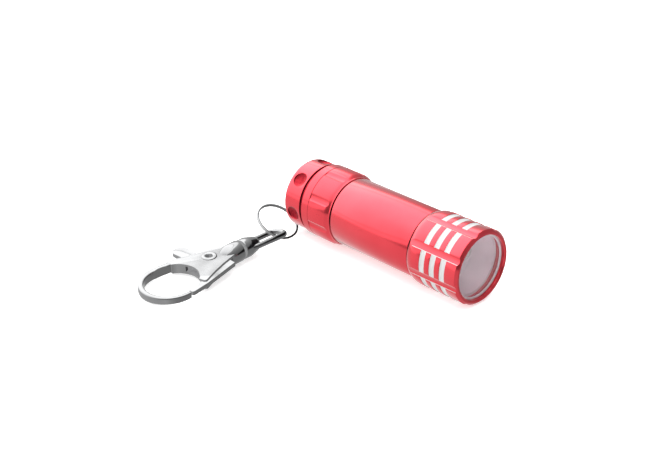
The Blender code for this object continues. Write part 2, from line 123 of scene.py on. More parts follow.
# Clasp, in its own frame: +X to the hook's end, +Y to the gate side
COLLAR_R = 2.9
CLASP_THICKNESS = 2.8
GATE_SLOT = 1.6
GATE_THICKNESS = 1.2
LOOP_CENTRE = (23.0, -0.3)
LOOP_R = 7.4
LOOP_OPENING_R = 6.6
PIVOT = (8.7, -1.6)
RIVET_R = 1.25
TAB_CENTRE = (11.0, -10.7)
TAB_R = 2.1

# Light tent: the direction of its middle, and the brightest panel's radiance
TENT_AXIS = (-0.55, -0.30, 0.78)
TENT_STRENGTH = 3.4

# The floor's own light, which keeps its shadows pale
FLOOR_GLOW = 0.55

# Finishes that do not show up in the reflections of others
UNREFLECTED_SLOTS = ("red_anodised", "chrome")

# Camera, from the centre of the front face
CAMERA_OFFSET = (195.45, -247.3, 169.9)
CAMERA_FORWARD = (-0.6349, 0.6240, -0.4556)
CAMERA_LENS = 80.7


# ---------------------------------------------------------------- materials

def new_material(name, colour, roughness, metallic, sockets=None):
    """A Principled material with named constant sockets."""
    mat = bpy.data.materials.new(name)
    mat.use_nodes = True
    shader = mat.node_tree.nodes["Principled BSDF"]
    shader.inputs["Base Color"].default_value = (*colour, 1.0)
    shader.inputs["Roughness"].default_value = roughness
    shader.inputs["Metallic"].default_value = metallic
    for key, value in (sockets or {}).items():
        shader.inputs[key].default_value = value
    return mat, shader


def stretched_noise(mat, scale, stretch=(1.0, 1.0, 1.0), detail=3.0):
    """Noise in object space; scale is in cycles per metre, stretch squeezes it along each axis."""
    nodes = mat.node_tree.nodes
    links = mat.node_tree.links
    coords = nodes.new("ShaderNodeTexCoord")
    mapping = nodes.new("ShaderNodeMapping")
    mapping.inputs["Scale"].default_value = stretch
    noise = nodes.new("ShaderNodeTexNoise")
    noise.inputs["Scale"].default_value = scale
    noise.inputs["Detail"].default_value = detail
    links.new(coords.outputs["Object"], mapping.inputs["Vector"])
    links.new(mapping.outputs["Vector"], noise.inputs["Vector"])
    return noise.outputs["Fac"]


def spread(mat, value, low, high, start=0.3, end=0.7):
    """Map a noise value to a range."""
    node = mat.node_tree.nodes.new("ShaderNodeMapRange")
    node.inputs["From Min"].default_value = start
    node.inputs["From Max"].default_value = end
    node.inputs["To Min"].default_value = low
    node.inputs["To Max"].default_value = high
    mat.node_tree.links.new(value, node.inputs["Value"])
    return node.outputs["Result"]


def tinted(mat, value, first, second, start=0.3, end=0.7):
    """Colour ramp between two colours."""
    ramp = mat.node_tree.nodes.new("ShaderNodeValToRGB")
    ramp.color_ramp.elements[0].position = start
    ramp.color_ramp.elements[0].color = (*first, 1.0)
    ramp.color_ramp.elements[1].position = end
    ramp.color_ramp.elements[1].color = (*second, 1.0)
    mat.node_tree.links.new(value, ramp.inputs["Fac"])
    return ramp.outputs["Color"]


def bumped(mat, value, strength, distance, under=None):
    """Bump node from a height value, distance in millimetres, stacked on another one."""
    node = mat.node_tree.nodes.new("ShaderNodeBump")
    node.inputs["Strength"].default_value = strength
    node.inputs["Distance"].default_value = distance * MM
    mat.node_tree.links.new(value, node.inputs["Height"])
    if under is not None:
        mat.node_tree.links.new(under, node.inputs["Normal"])
    return node.outputs["Normal"]


def connect(mat, shader, colour=None, roughness=None, normal=None):
    links = mat.node_tree.links
    if colour is not None:
        links.new(colour, shader.inputs["Base Color"])
    if roughness is not None:
        links.new(roughness, shader.inputs["Roughness"])
    if normal is not None:
        links.new(normal, shader.inputs["Normal"])
    return mat


def red_anodised():
    """Dyed oxide over fine-turned aluminium: hairline turning marks and a faint blasted grain."""
    mat, shader = new_material("red_anodised", (0.84, 0.062, 0.082), 0.16, 1.0,
                               {"Coat Weight": 0.35, "Coat Roughness": 0.12, "Coat IOR": 1.5})
    cloud = stretched_noise(mat, 160.0, detail=3.0)
    lathe = stretched_noise(mat, 1100.0, (12.0, 0.15, 0.15), 2.0)
    colour = tinted(mat, cloud, (0.82, 0.057, 0.077), (0.86, 0.067, 0.088))
    normal = bumped(mat, lathe, 0.05, 0.004)
    return connect(mat, shader, colour, spread(mat, lathe, 0.13, 0.20), normal)


def red_painted_shade():
    """Darker red for the dimples and the tail groove, standing in for the shade inside them."""
    mat, shader = new_material("red_painted_shade", (0.34, 0.014, 0.024), 0.42, 0.9)
    rings = stretched_noise(mat, 1500.0, detail=2.0)
    colour = tinted(mat, rings, (0.26, 0.010, 0.018), (0.44, 0.020, 0.032))
    return connect(mat, shader, colour, spread(mat, rings, 0.26, 0.42), bumped(mat, rings, 0.2, 0.01))


def bare_aluminium():
    """Bare bands cut through the dye, with visible turning lines."""
    mat, shader = new_material("bare_aluminium", (0.80, 0.80, 0.79), 0.5, 0.35)
    lathe = stretched_noise(mat, 1400.0, (10.0, 0.3, 0.3), 3.0)
    colour = tinted(mat, lathe, (0.44, 0.44, 0.44), (0.64, 0.64, 0.635))
    return connect(mat, shader, colour, spread(mat, lathe, 0.44, 0.60), bumped(mat, lathe, 0.35, 0.01))


def chrome():
    """Polished plate with slight waviness and hairline scratches; darker than real plate, to suit this tent."""
    mat, shader = new_material("chrome", (0.31, 0.31, 0.315), 0.08, 1.0)
    wave = stretched_noise(mat, 240.0, detail=1.0)
    hairs = stretched_noise(mat, 1500.0, (0.3, 6.0, 1.0), 4.0)
    colour = tinted(mat, wave, (0.29, 0.292, 0.295), (0.33, 0.332, 0.336))
    normal = bumped(mat, hairs, 0.03, 0.006, bumped(mat, wave, 0.05, 0.04))
    return connect(mat, shader, colour, spread(mat, hairs, 0.05, 0.13), normal)


def clasp_painted_shade():
    """Dark metal for the inside of the clasp's slots, standing in for the shade there."""
    mat, shader = new_material("clasp_painted_shade", (0.10, 0.10, 0.105), 0.4, 1.0)
    grain = stretched_noise(mat, 900.0, detail=3.0)
    colour = tinted(mat, grain, (0.06, 0.06, 0.063), (0.14, 0.14, 0.145))
    return connect(mat, shader, colour, spread(mat, grain, 0.32, 0.5), bumped(mat, grain, 0.3, 0.02))


def spring_steel():
    mat, shader = new_material("spring_steel", (0.60, 0.60, 0.61), 0.28, 1.0)
    drawn = stretched_noise(mat, 2600.0, (1.0, 0.4, 1.0), 3.0)
    colour = tinted(mat, drawn, (0.50, 0.50, 0.51), (0.68, 0.68, 0.70))
    return connect(mat, shader, colour, spread(mat, drawn, 0.20, 0.38), bumped(mat, drawn, 0.2, 0.01))


def black_rubber():
    mat, shader = new_material("black_rubber", (0.03, 0.03, 0.03), 0.7, 0.0)
    grain = stretched_noise(mat, 4200.0, detail=5.0)
    dust = stretched_noise(mat, 900.0, detail=3.0)
    colour = tinted(mat, dust, (0.018, 0.018, 0.019), (0.028, 0.0275, 0.027))
    return connect(mat, shader, colour, spread(mat, grain, 0.55, 0.80), bumped(mat, grain, 0.4, 0.03))


def black_plastic():
    mat, shader = new_material("black_plastic", (0.04, 0.04, 0.045), 0.45, 0.0)
    grain = stretched_noise(mat, 2600.0, detail=4.0)
    colour = tinted(mat, grain, (0.028, 0.028, 0.031), (0.052, 0.052, 0.057))
    return connect(mat, shader, colour, spread(mat, grain, 0.36, 0.55), bumped(mat, grain, 0.25, 0.02))


def white_plastic():
    mat, shader = new_material("switch_white", (0.80, 0.80, 0.78), 0.5, 0.0, {"Subsurface Weight": 0.1})
    grain = stretched_noise(mat, 2200.0, detail=4.0)
    colour = tinted(mat, grain, (0.74, 0.74, 0.71), (0.84, 0.84, 0.82))
    return connect(mat, shader, colour, spread(mat, grain, 0.40, 0.58), bumped(mat, grain, 0.2, 0.02))


def clear_lens():
    """Clear moulded lens: mostly see-through, with a polished surface and faint wipe marks."""
    mat, shader = new_material("clear_lens", (0.90, 0.92, 0.94), 0.04, 0.0,
                               {"Alpha": 0.10, "IOR": 1.49, "Coat Weight": 1.0, "Coat Roughness": 0.03})
    wipes = stretched_noise(mat, 500.0, (1.0, 5.0, 0.6), 4.0)
    colour = tinted(mat, wipes, (0.86, 0.88, 0.90), (0.95, 0.96, 0.97))
    return connect(mat, shader, colour, spread(mat, wipes, 0.02, 0.09))


def reflector_silver():
    """Satin metallised reflector. Its pale pink, mostly diffuse colour is painted: a painted reflection of the red
    shell, and painted light in place of the dim surroundings it would mirror.
    """
    mat, shader = new_material("reflector_silver", (0.74, 0.60, 0.66), 0.45, 0.25)
    stipple = stretched_noise(mat, 1300.0, detail=1.0)
    cloud = stretched_noise(mat, 220.0, detail=2.0)
    colour = tinted(mat, cloud, (0.70, 0.56, 0.62), (0.78, 0.64, 0.70))
    return connect(mat, shader, colour, spread(mat, cloud, 0.34, 0.44), bumped(mat, stipple, 0.1, 0.03))


def clear_silicone():
    """Milky flat gasket that shows as a pale ring round the lens."""
    mat, shader = new_material("clear_silicone", (0.62, 0.58, 0.60), 0.5, 0.0, {"Subsurface Weight": 0.15})
    grain = stretched_noise(mat, 1800.0, detail=3.0)
    colour = tinted(mat, grain, (0.56, 0.52, 0.54), (0.68, 0.64, 0.66))
    return connect(mat, shader, colour, spread(mat, grain, 0.42, 0.60), bumped(mat, grain, 0.2, 0.02))


def led_epoxy():
    mat, shader = new_material("led_epoxy", (0.93, 0.94, 0.88), 0.06, 0.0,
                               {"Alpha": 0.35, "IOR": 1.5, "Coat Weight": 1.0, "Coat Roughness": 0.04})
    swirl = stretched_noise(mat, 700.0, detail=2.0)
    colour = tinted(mat, swirl, (0.90, 0.91, 0.84), (0.96, 0.96, 0.92))
    return connect(mat, shader, colour, spread(mat, swirl, 0.04, 0.10))


def led_phosphor():
    mat, shader = new_material("led_phosphor", (0.85, 0.72, 0.12), 0.6, 0.0)
    powder = stretched_noise(mat, 6000.0, detail=3.0)
    colour = tinted(mat, powder, (0.78, 0.62, 0.08), (0.93, 0.82, 0.22))
    return connect(mat, shader, colour, spread(mat, powder, 0.5, 0.75), bumped(mat, powder, 0.3, 0.02))


def board_green():
    mat, shader = new_material("board_green", (0.05, 0.25, 0.12), 0.4, 0.0, {"Coat Weight": 0.5})
    weave = stretched_noise(mat, 1800.0, detail=2.0)
    colour = tinted(mat, weave, (0.03, 0.19, 0.09), (0.07, 0.30, 0.15))
    return connect(mat, shader, colour, spread(mat, weave, 0.3, 0.5), bumped(mat, weave, 0.2, 0.02))


def cell_can():
    mat, shader = new_material("cell_can", (0.70, 0.70, 0.72), 0.25, 1.0)
    brushed = stretched_noise(mat, 1500.0, (8.0, 0.4, 0.4), 3.0)
    colour = tinted(mat, brushed, (0.62, 0.62, 0.64), (0.78, 0.78, 0.80))
    return connect(mat, shader, colour, spread(mat, brushed, 0.18, 0.34), bumped(mat, brushed, 0.2, 0.01))


MATERIALS = {
    "red_anodised": red_anodised(), "red_painted_shade": red_painted_shade(), "bare_aluminium": bare_aluminium(),
    "chrome": chrome(), "clasp_painted_shade": clasp_painted_shade(),
    "spring_steel": spring_steel(), "black_rubber": black_rubber(), "black_plastic": black_plastic(),
    "switch_white": white_plastic(), "clear_lens": clear_lens(), "reflector_silver": reflector_silver(),
    "clear_silicone": clear_silicone(), "led_epoxy": led_epoxy(), "led_phosphor": led_phosphor(),
    "board_green": board_green(), "cell_can": cell_can(),
}


# ---------------------------------------------------------------- mesh helpers

def link(obj):
    bpy.context.scene.collection.objects.link(obj)
    return obj


def mesh_object(name, bm, matrix):
    mesh = bpy.data.meshes.new(name)
    bm.to_mesh(mesh)
    bm.free()
    obj = link(bpy.data.objects.new(name, mesh))
    obj.matrix_world = matrix
    return obj


def applied(obj):
    """The same object with its modifiers or curve turned into a plain mesh."""
    bpy.context.view_layer.update()
    name = obj.name
    matrix = obj.matrix_world.copy()
    graph = bpy.context.evaluated_depsgraph_get()
    mesh = bpy.data.meshes.new_from_object(obj.evaluated_get(graph))
    bpy.data.objects.remove(obj, do_unlink=True)
    mesh.name = name
    result = link(bpy.data.objects.new(name, mesh))
    result.matrix_world = matrix
    return result


def welded(obj):
    """Close a curve's caps and turn all its faces outwards."""
    bm = bmesh.new()
    bm.from_mesh(obj.data)
    bmesh.ops.remove_doubles(bm, verts=bm.verts, dist=0.000002)
    bmesh.ops.recalc_face_normals(bm, faces=bm.faces)
    bm.to_mesh(obj.data)
    bm.free()
    return obj


def smooth(obj, angle=30):
    obj.data.shade_smooth()
    obj.data.set_sharp_from_angle(angle=math.radians(angle))
    return obj


def piece(obj, body, slot, nodes=(), material=None, angle=30):
    """Finish a visible piece: place in its vertices, shading, material chosen by its finish slot, body, and hide
    the nodes it replaces.
    """
    obj.data.transform(obj.matrix_world)
    obj.matrix_world = Matrix.Identity(4)
    if not obj.data.materials:
        obj.data.materials.append(MATERIALS[material or slot])
    smooth(obj, angle)
    obj.visible_glossy = slot not in UNREFLECTED_SLOTS
    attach(obj, body)
    if nodes:
        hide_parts(*nodes)
    return obj


def torch_matrix(angle=0.0):
    """Frame on the torch axis at the datum, local +Z forward, turned about the axis."""
    turn = Matrix.Rotation(math.radians(90), 4, "Y") @ Matrix.Rotation(math.radians(angle), 4, "Z")
    return Matrix.Translation(Vector((FRONT_X, AXIS_Y, AXIS_Z)) * MM) @ turn


def turned(name, profile, matrix=None, steps=FINE_STEPS, closed=True):
    """Turned solid from (station, radius) points, outer side first; stations run down local -Z."""
    bm = bmesh.new()
    verts = [bm.verts.new((radius * MM, 0.0, -station * MM)) for station, radius in profile]
    for first, second in zip(verts, verts[1:]):
        bm.edges.new((first, second))
    if closed:
        bm.edges.new((verts[-1], verts[0]))
    obj = mesh_object(name, bm, matrix or torch_matrix())
    screw = obj.modifiers.new("turn", "SCREW")
    screw.axis = "Z"
    screw.steps = steps
    screw.render_steps = steps
    screw.use_merge_vertices = True
    screw.merge_threshold = 0.000005
    return obj


def cylinder(name, radius, depth, matrix, sides=64):
    bm = bmesh.new()
    bmesh.ops.create_cone(bm, cap_ends=True, segments=sides, radius1=radius * MM,
                          radius2=radius * MM, depth=depth * MM)
    return mesh_object(name, bm, matrix)


def cut(obj, cutter, operation="DIFFERENCE"):
    """Boolean with a cutter, which is then removed."""
    mod = obj.modifiers.new("cut", "BOOLEAN")
    mod.operation = operation
    mod.solver = "EXACT"
    mod.object = cutter
    result = applied(obj)
    bpy.data.objects.remove(cutter, do_unlink=True)
    return result


def rounded(obj, width, angle=35, segments=2):
    """Small rounded edges, so that every edge catches the light."""
    mod = obj.modifiers.new("edges", "BEVEL")
    mod.width = width * MM
    mod.segments = segments
    mod.limit_method = "ANGLE"
    mod.angle_limit = math.radians(angle)
    return applied(obj)


def arc(centre, radius, first, last, steps):
    points = []
    for index in range(steps + 1):
        angle = math.radians(first + (last - first) * index / steps)
        points.append((centre[0] + radius * math.cos(angle), centre[1] + radius * math.sin(angle)))
    return points


def outline(name, points, thickness, matrix, edge=0.0):
    """Flat outline extruded evenly about its own plane, its edges rounded by the given radius."""
    curve = bpy.data.curves.new(name, "CURVE")
    curve.dimensions = "2D"
    curve.fill_mode = "BOTH"
    curve.extrude = (thickness / 2.0 - edge) * MM
    curve.bevel_depth = edge * MM
    curve.bevel_resolution = 3
    curve.offset = -edge * MM
    spline = curve.splines.new("POLY")
    spline.points.add(len(points) - 1)
    for point, (x, y) in zip(spline.points, points):
        point.co = (x * MM, y * MM, 0.0, 1.0)
    spline.use_cyclic_u = True
    obj = link(bpy.data.objects.new(name, curve))
    obj.matrix_world = matrix
    return welded(applied(obj))


def wire(name, points, width, height, matrix, radii=None, sides=20, power=1.0, cyclic=False):
    """Wire of rounded section along points: width lies in the local XY plane."""
    section = bpy.data.curves.new(name + "_section", "CURVE")
    section.dimensions = "2D"
    rim = section.splines.new("POLY")
    rim.points.add(sides - 1)
    for index, point in enumerate(rim.points):
        angle = 2.0 * math.pi * (index + 0.5) / sides
        across = math.copysign(abs(math.cos(angle)) ** power, math.cos(angle))
        along = math.copysign(abs(math.sin(angle)) ** power, math.sin(angle))
        point.co = (across * width * MM / 2.0, along * height * MM / 2.0, 0.0, 1.0)
    rim.use_cyclic_u = True
    section_obj = link(bpy.data.objects.new(name + "_section", section))
    curve = bpy.data.curves.new(name, "CURVE")
    curve.dimensions = "3D"
    curve.twist_mode = "Z_UP"
    curve.bevel_mode = "OBJECT"
    curve.bevel_object = section_obj
    curve.use_fill_caps = not cyclic
    spline = curve.splines.new("POLY")
    spline.points.add(len(points) - 1)
    for index, (x, y, z) in enumerate(points):
        spline.points[index].co = (x * MM, y * MM, z * MM, 1.0)
        spline.points[index].radius = radii[index] if radii else 1.0
    spline.use_cyclic_u = cyclic
    obj = link(bpy.data.objects.new(name, curve))
    obj.matrix_world = matrix
    obj = welded(applied(obj))
    bpy.data.objects.remove(section_obj, do_unlink=True)
    return obj


def axes_matrix(x_axis, y_axis, origin):
    """Frame from two unit axes and an origin in millimetres."""
    z_axis = x_axis.cross(y_axis)
    basis = Matrix((x_axis, y_axis, z_axis)).transposed().to_4x4()
    return Matrix.Translation(Vector(origin) * MM) @ basis


def from_datum(offset):
    return Vector((FRONT_X + offset[0], AXIS_Y + offset[1], AXIS_Z + offset[2]))


def clasp_matrix():
    """Clasp frame from its joints: swivel axis along +X, gate axis along +Z."""
    along = Vector(JOINTS["clasp_swivel"]["axis"]).normalized()
    up = Vector(JOINTS["gate_open"]["axis"]).normalized()
    return axes_matrix(along, up.cross(along).normalized(), Vector(JOINTS["clasp_swivel"]["pos_m"]) / MM)


def pivot_matrix():
    return clasp_matrix() @ Matrix.Translation(Vector((PIVOT[0], PIVOT[1], 0.0)) * MM)


def eye_matrix():
    heading = math.radians(EYE_HEADING)
    pitch = math.radians(EYE_PITCH)
    roll = math.radians(EYE_ROLL)
    along = Vector((-math.sin(heading) * math.cos(pitch), math.cos(heading) * math.cos(pitch),
                    math.sin(pitch)))
    level = Vector((math.cos(heading), math.sin(heading), 0.0))
    near = level * math.cos(roll) + level.cross(along) * math.sin(roll)
    return axes_matrix(along, -near, Vector(JOINTS["clasp_swivel"]["pos_m"]) / MM)


def ring_matrix():
    normal = Vector(RING_NORMAL).normalized()
    across = Vector((0.0, 1.0, 0.0)).cross(normal).normalized()
    return axes_matrix(across, normal.cross(across), from_datum(RING_CENTRE))


# ---------------------------------------------------------------- torch shells

def fluted(shell, start, end):
    """Eight round-bottomed flutes milled along a shell between two stations."""
    reach = HEAD_R - FLUTE_DEPTH + FLUTE_CUTTER_R
    for index in range(FLUTES):
        angle = math.radians(FLUTE_START_ANGLE + 360.0 * index / FLUTES)
        centre = Vector((FRONT_X - (start + end) / 2.0, AXIS_Y + reach * math.sin(angle),
                         AXIS_Z + reach * math.cos(angle)))
        matrix = Matrix.Translation(centre * MM) @ Matrix.Rotation(math.radians(90), 4, "Y")
        shell = cut(shell, cylinder("flute_cutter", FLUTE_CUTTER_R, end - start, matrix, 96))
    return shell


def place_on_torch(obj, face):
    """A face's station along the torch and its distance from the axis, in millimetres."""
    centre = obj.matrix_world @ face.center / MM
    return FRONT_X - centre.x, math.hypot(centre.y - AXIS_Y, centre.z - AXIS_Z)


def bare_bands(shell):
    """Give the floor of each band on the lands the bare metal."""
    shell.data.materials.append(MATERIALS["red_anodised"])
    shell.data.materials.append(MATERIALS["bare_aluminium"])
    low = HEAD_R - BAND_DEPTH
    for face in shell.data.polygons:
        station, reach = place_on_torch(shell, face)
        inside = any(abs(station - band) < BAND_WIDTH / 2 - 0.02 for band in BAND_CENTRES)
        if inside and low - 0.04 < reach < low + 0.02:
            face.material_index = 1
    return shell


def head_shell():
    outer = [(FACE, 9.35), (1.25, HEAD_R)]
    low = HEAD_R - BAND_DEPTH
    for centre in BAND_CENTRES:
        outer += [(centre - BAND_WIDTH / 2, HEAD_R), (centre - BAND_WIDTH / 2 + 0.02, low),
                  (centre + BAND_WIDTH / 2 - 0.02, low), (centre + BAND_WIDTH / 2, HEAD_R)]
    outer += [(15.05, HEAD_R), (15.7, 9.94), (16.3, 9.78), (16.9, 9.54), (HEAD_END, 9.3)]
    inner = [(HEAD_END, THREAD_BORE_R), (9.6, THREAD_BORE_R), (9.6, 9.0), (1.6, 9.0), (1.6, 8.6),
             (0.85, 8.6), (FACE, 8.85)]
    shell = fluted(turned("lens_head", outer + inner, steps=SHELL_STEPS), -2.0, HEAD_END + 2.0)
    shell = bare_bands(rounded(shell, EDGE_ROUND, 55))
    return piece(shell, "head", "red_anodised", ["head_shell"])


def neck_ring(start, end):
    """Fine stations over a threaded neck."""
    count = int((end - start) / THREAD_PITCH * 8)
    return [start + (end - start) * index / count for index in range(count + 1)]


def thread_lift(station, turn, start, end):
    """Height of a rounded V thread over its neck, faded in and out at both ends."""
    phase = (station / THREAD_PITCH + turn) % 1.0
    ridge = 0.5 - 0.5 * math.cos(2.0 * math.pi * phase)
    fade = min(1.0, (station - start) / THREAD_PITCH, (end - station) / THREAD_PITCH)
    return THREAD_HEIGHT * ridge * max(fade, 0.0)


def barrel():
    """Barrel tube with a real thread on each neck."""
    front = (10.5, 14.5)
    rear = (BARREL_END + 1.6, 49.8)
    rows = [(10.2, NECK_R - 0.3, None)]
    rows += [(station, NECK_R, front) for station in neck_ring(*front)]
    rows += [(14.6, NECK_R, None), (14.6, 7.5, None), (15.7, 7.5, None), (15.7, NECK_R, None),
             (BARREL_START, NECK_R, None), (BARREL_START, BARREL_R - 0.2, None),
             (BARREL_START + 0.06, BARREL_R - 0.06, None), (BARREL_START + 0.2, BARREL_R, None),
             (BARREL_END - 0.2, BARREL_R, None), (BARREL_END - 0.06, BARREL_R - 0.06, None),
             (BARREL_END, BARREL_R - 0.2, None), (BARREL_END, NECK_R, None)]
    rows += [(station, NECK_R, rear) for station in neck_ring(*rear)]
    rows += [(50.1, NECK_R - 0.3, None), (50.1, BORE_R, None), (10.2, BORE_R, None)]
    bm = bmesh.new()
    rings = []
    for station, radius, span in rows:
        ring = []
        for step in range(SHELL_STEPS):
            turn = step / SHELL_STEPS
            reach = radius + (thread_lift(station, turn, *span) if span else 0.0)
            angle = 2.0 * math.pi * turn
            ring.append(bm.verts.new((reach * math.cos(angle) * MM, reach * math.sin(angle) * MM,
                                      -station * MM)))
        rings.append(ring)
    for first, second in zip(rings, rings[1:] + rings[:1]):
        for step in range(SHELL_STEPS):
            after = (step + 1) % SHELL_STEPS
            bm.faces.new((first[step], first[after], second[after], second[step]))
    bmesh.ops.recalc_face_normals(bm, faces=bm.faces)
    return piece(mesh_object("barrel_tube", bm, torch_matrix()), "barrel", "red_anodised", ["barrel"])



def two_tone(obj, first, second, index=0):
    """Give a mesh two materials, all its faces starting with the one at the index."""
    for name in (first, second):
        obj.data.materials.append(MATERIALS[name])
    for face in obj.data.polygons:
        face.material_index = index
    return obj


def tail_cap():
    outer = [(CAP_START, 9.35), (45.3, 9.35), (45.9, 9.7), (46.5, HEAD_R), (CAP_GRIP_END - 0.12, HEAD_R),
             (CAP_GRIP_END - 0.03, 9.88), (CAP_GRIP_END + 0.03, 9.88), (CAP_GRIP_END + 0.12, HEAD_R),
             (GROOVE_START - 0.12, HEAD_R), (GROOVE_START, 9.88), (GROOVE_START, 8.9),
             (GROOVE_END, 8.9), (GROOVE_END, TAIL_R - 0.08), (GROOVE_END + 0.08, TAIL_R),
             (CAP_END - 1.0, TAIL_R), (CAP_END - 0.62, TAIL_R - 0.07), (CAP_END - 0.3, TAIL_R - 0.26),
             (CAP_END - 0.08, TAIL_R - 0.52), (CAP_END, TAIL_R - 0.75)]
    inner = [(CAP_END, SKIRT_R), (SKIRT_FLOOR, SKIRT_R), (SKIRT_FLOOR, 6.5), (53.2, 6.5),
             (53.2, THREAD_BORE_R), (47.5, THREAD_BORE_R), (47.5, 9.2), (46.2, 9.2),
             (46.2, THREAD_BORE_R), (CAP_START, THREAD_BORE_R)]
    cap = fluted(turned("tail_cap_shell", outer + inner, steps=SHELL_STEPS), CAP_START - 3.0, CAP_GRIP_END)
    two_tone(cap, "red_anodised", "red_painted_shade")
    for index in range(DIMPLES):
        angle = math.radians(DIMPLE_START_ANGLE + 360.0 * index / DIMPLES)
        axis_point = Vector((FRONT_X - DIMPLE_STATION, AXIS_Y, AXIS_Z))
        matrix = Matrix.Translation(axis_point * MM) @ Matrix.Rotation(-angle, 4, "X")
        point = [(-DIMPLE_SHOULDER, DIMPLE_R), (-DIMPLE_TIP, 0.0)]
        if index == RING_DIMPLE:
            point = [(1.0 - SKIRT_R, DIMPLE_R), (1.0 - SKIRT_R, 0.0)]
        drill = applied(turned("drill", [(-12.0, 0.0), (-12.0, DIMPLE_R)] + point, matrix, 64, closed=False))
        # The drill's faces carry the darker red into each dimple as painted shade inside it.
        cap = cut(cap, two_tone(drill, "red_anodised", "red_painted_shade", 1))
    # The groove's faces take the darker red too: painted shade inside the groove.
    for face in cap.data.polygons:
        station, reach = place_on_torch(cap, face)
        if GROOVE_START - 0.02 < station < GROOVE_END + 0.02 and 8.85 < reach < TAIL_R - 0.1:
            face.material_index = 1
    return piece(rounded(cap, EDGE_ROUND, 55), "cap", "red_anodised", ["tail_cap"])


# ---------------------------------------------------------------- optics and inside

def led_matrix(index, station):
    turn = Matrix.Rotation(math.radians(90 + 360.0 * index / LED_COUNT), 4, "Z")
    return torch_matrix() @ turn @ Matrix.Translation(Vector((LED_PITCH_R, 0.0, -station)) * MM)


def lens():
    profile = [(2.25, 0.0), (2.25, 8.6), (2.31, 8.75), (2.45, 8.8), (3.3, 8.8), (3.42, 8.74), (3.45, 8.6),
               (3.45, 0.0)]
    disc = applied(turned("front_lens", profile, steps=SHELL_STEPS, closed=False))
    piece(disc, "optics", "clear_lens", ["lens"])
    seal = [(1.7, 8.25), (1.76, 8.8), (1.92, 8.86), (2.1, 8.8), (2.15, 8.25), (2.0, 8.16), (1.84, 8.16)]
    ring = applied(turned("lens_gasket", seal))
    piece(ring, "optics", "clear_silicone", ["lens_seal"])


def reflector():
    """Shallow silvered bowl with a hole for each LED."""
    bowl = []
    for index in range(17):
        part = index / 16.0
        bowl.append((REFLECTOR_FLOOR - (REFLECTOR_FLOOR - 3.6) * part ** 1.6, 6.2 + 1.8 * part))
    profile = [(3.6, 8.8), (4.2, 8.8), (4.2, 8.4), (9.5, 7.3), (9.9, 6.9), (9.9, 0.0), (REFLECTOR_FLOOR, 0.0)]
    profile += bowl
    cup = applied(turned("reflector_bowl", profile, steps=SHELL_STEPS))
    for index in range(LED_COUNT):
        cup = cut(cup, cylinder("led_hole_cutter", 2.7, 3.0, led_matrix(index, REFLECTOR_FLOOR), 48))
    return piece(cup, "optics", "reflector_silver", ["reflector"])


def leds():
    """Clear domed bodies over a small cup of phosphor on its lead frame."""
    for index in range(LED_COUNT):
        dome = [(-4.6, 0.0)]
        for step in range(1, 13):
            angle = math.radians(7.5 * step)
            dome.append((-2.15 - 2.45 * math.cos(angle), 2.45 * math.sin(angle)))
        dome += [(-0.8, 2.45), (-0.75, 2.5), (-0.75, 2.8), (-0.7, 2.85), (0.0, 2.85), (0.0, 0.0)]
        body = applied(turned(f"led_{index + 1}_dome", dome, led_matrix(index, LED_BASE), 64, closed=False))
        piece(body, "barrel", "led_epoxy", [f"led_{index + 1}"])
        cup = [(-2.3, 0.55), (-2.3, 0.75), (-1.2, 0.6), (-1.1, 0.45), (-0.1, 0.45), (-0.1, 0.0),
               (-1.95, 0.0), (-1.95, 0.4)]
        lead = applied(turned(f"led_{index + 1}_lead_cup", cup, led_matrix(index, LED_BASE), 32))
        piece(lead, "barrel", "spring_steel")
        glow = [(-2.22, 0.0), (-2.2, 0.3), (-2.12, 0.5), (-1.98, 0.38), (-1.98, 0.0)]
        chip = applied(turned(f"led_{index + 1}_phosphor", glow, led_matrix(index, LED_BASE), 32, closed=False))
        piece(chip, "barrel", "led_epoxy", material="led_phosphor")


def seal(name, station, radius, section, body, node):
    """Round-section seal ring."""
    points = []
    for step in range(16):
        angle = 2.0 * math.pi * step / 16
        points.append((station + section * math.sin(angle), radius + section * math.cos(angle)))
    return piece(applied(turned(name, points)), body, "black_rubber", [node])


def switch_boot():
    """Rubber boot with a raised ring and a domed crown."""
    profile = [(52.4, 7.6), (53.0, 7.6), (53.0, BOOT_R), (63.7, BOOT_R), (64.1, BOOT_R - 0.06), (64.5, 5.88),
               (64.8, 5.55), (65.0, 5.0), (65.08, 4.6), (65.16, 4.2), (65.25, 3.4), (65.32, 2.4), (65.35, 1.2),
               (65.35, 0.0), (63.0, 0.0), (63.0, 4.6), (52.4, 4.6)]
    boot = applied(turned("tail_boot", profile, closed=False))
    return piece(boot, "button", "black_rubber", ["switch_boot"], angle=40)


# ---------------------------------------------------------------- ring and clasp

def split_ring():
    """Flat spring wire wound in two close turns, stepping from one layer to the other."""
    per_turn = 120
    first = 0.08
    last = 1.92
    count = int(per_turn * (last - first))
    rise = RING_WIRE_H + RING_LAYER_GAP
    points = []
    for index in range(count + 1):
        turn = first + (last - first) * index / count
        step = min(max((turn - 0.93) / 0.14, 0.0), 1.0)
        height = rise * (step * step * (3.0 - 2.0 * step) - 0.5)
        angle = 2.0 * math.pi * turn
        points.append((RING_R * math.cos(angle), RING_R * math.sin(angle), height))
    ring = wire("key_ring", points, RING_WIRE_W, RING_WIRE_H, ring_matrix(), sides=20, power=0.7)
    return piece(ring, "ring", "chrome", ["split_ring"], angle=45)


